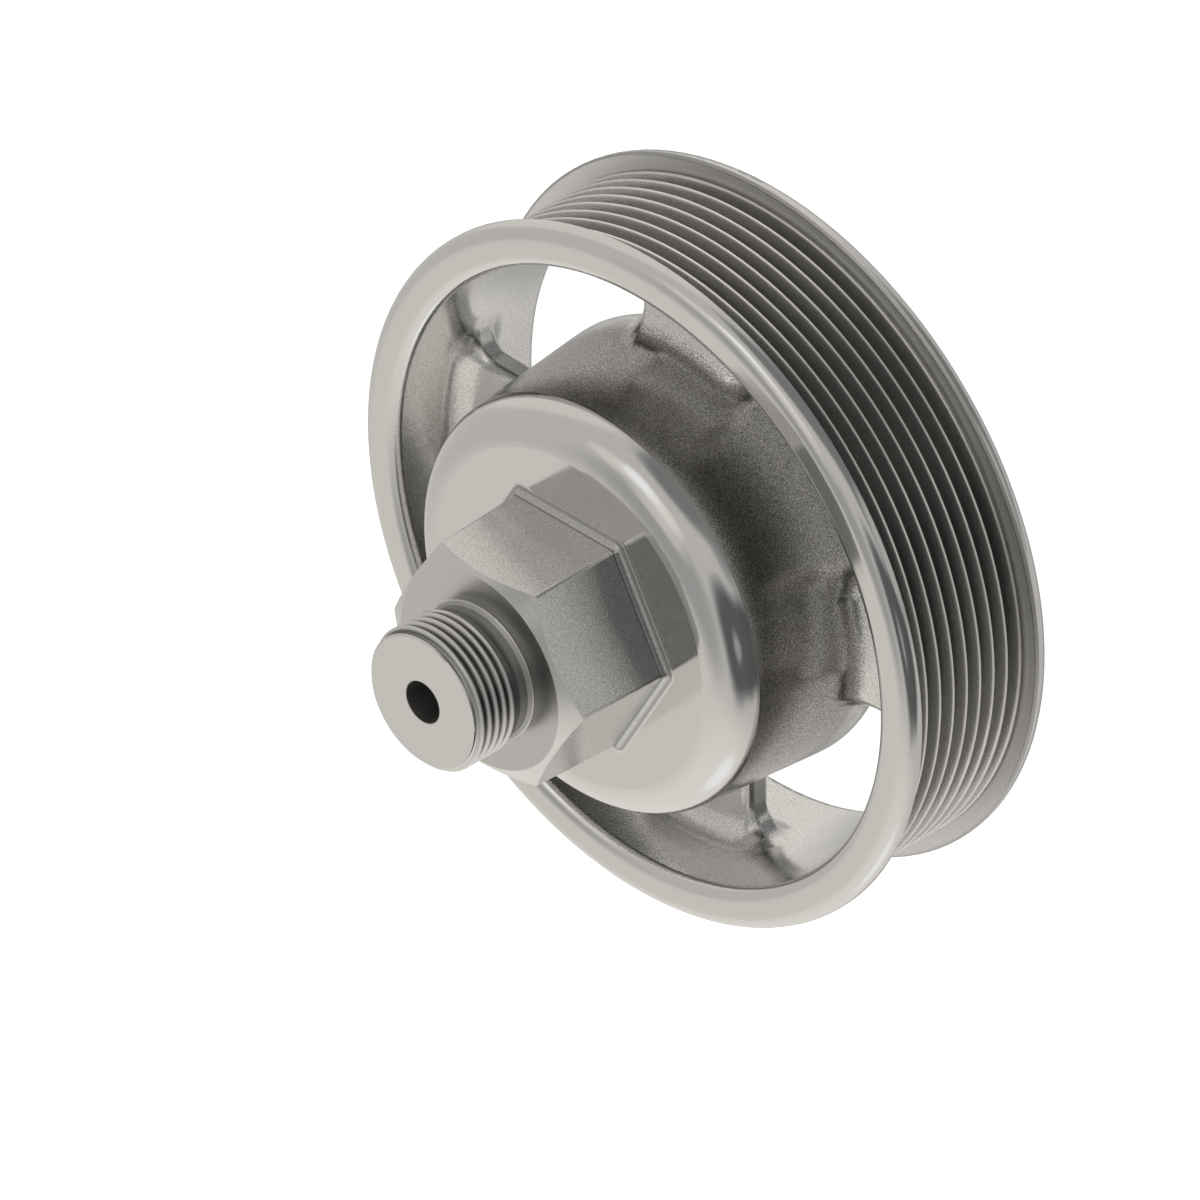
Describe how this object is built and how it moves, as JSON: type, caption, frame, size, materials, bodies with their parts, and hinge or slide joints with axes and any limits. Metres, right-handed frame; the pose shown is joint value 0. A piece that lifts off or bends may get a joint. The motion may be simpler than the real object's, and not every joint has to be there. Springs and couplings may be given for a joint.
{
  "type": "fan drive pulley",
  "caption": "Spoked multi-rib belt pulley with a deep bearing hub, a wrench hexagon and a threaded nose that a fan clutch screws on to.",
  "frame": {"origin": "on the pulley's axis, in the plane of the rim's rear face, on which the pulley stands", "axes": "+Z along the axis towards the threaded nose; the windows between the spokes are centred on the X and Y axes"},
  "size_m": [0.1464, 0.1464, 0.0949],
  "materials": {
    "bare_metal": "fine blasted and turned, satin"
  },
  "bodies": {
    "root": {"pulley_body": "bare_metal"}
  },
  "joints": []
}
